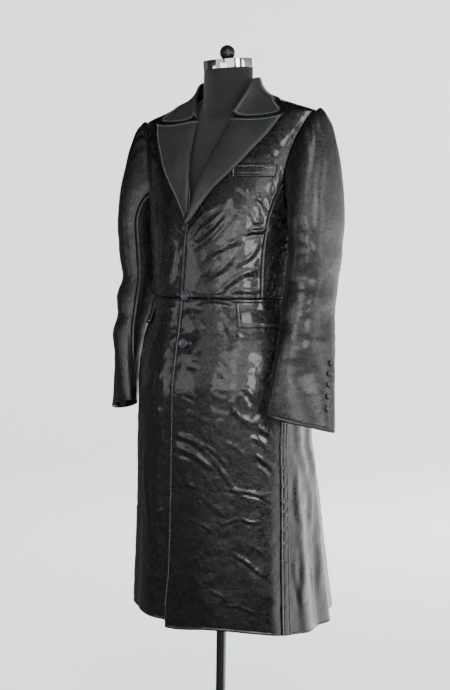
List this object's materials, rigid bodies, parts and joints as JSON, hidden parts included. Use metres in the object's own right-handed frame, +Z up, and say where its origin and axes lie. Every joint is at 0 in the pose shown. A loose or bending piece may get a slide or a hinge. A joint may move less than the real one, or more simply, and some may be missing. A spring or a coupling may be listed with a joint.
{
  "type": "long leather coat on a dress form stand",
  "caption": "Long black leather frock coat with wide peak lapels, a waist seam and flap pockets, buttoned on a limbless dress form with a pole and round foot.",
  "frame": {"origin": "on the floor under the pole's axis, at the centre of the foot's flat underside", "axes": "+Z up along the pole; the coat faces -Y; its wearer's left side is +X"},
  "size_m": [0.6012, 0.4291, 1.5925],
  "materials": {
    "leather": "glossy black leather with a fine crinkle",
    "lapel_leather": "smoother satin black leather",
    "button_black": "gloss black",
    "form_cover": "matt black knitted cover",
    "chrome": "polished",
    "knob_black": "gloss black",
    "pole_steel": "polished steel tube",
    "foot_paint": "satin black powder coat"
  },
  "bodies": {
    "root": {"back_left": "leather", "back_right": "leather", "breast_welt": "leather", "collar": "lapel_leather", "cuff_button_left_1": "button_black", "cuff_button_left_2": "button_black", "cuff_button_left_3": "button_black", "cuff_button_left_4": "button_black", "cuff_button_left_5": "button_black", "cuff_button_right_1": "button_black", "cuff_button_right_2": "button_black", "cuff_button_right_3": "button_black", "cuff_button_right_4": "button_black", "cuff_button_right_5": "button_black", "flap_left": "leather", "flap_right": "leather", "foot": "foot_paint", "form_bust": "form_cover", "front_button_1": "button_black", "front_button_2": "button_black", "front_left": "leather", "front_right": "leather", "knob": "knob_black", "lapel_left": "lapel_leather", "lapel_right": "lapel_leather", "neck_cap": "chrome", "pocket_jet_left": "leather", "pocket_jet_right": "leather", "pole": "pole_steel", "side_left": "leather", "side_right": "leather", "side_strip_left": "leather", "side_strip_right": "leather", "skirt_back_left": "leather", "skirt_back_right": "leather", "skirt_front_left": "leather", "skirt_front_right": "leather", "top_sleeve_left": "leather", "top_sleeve_right": "leather", "under_sleeve_left": "leather", "under_sleeve_right": "leather"}
  },
  "joints": []
}
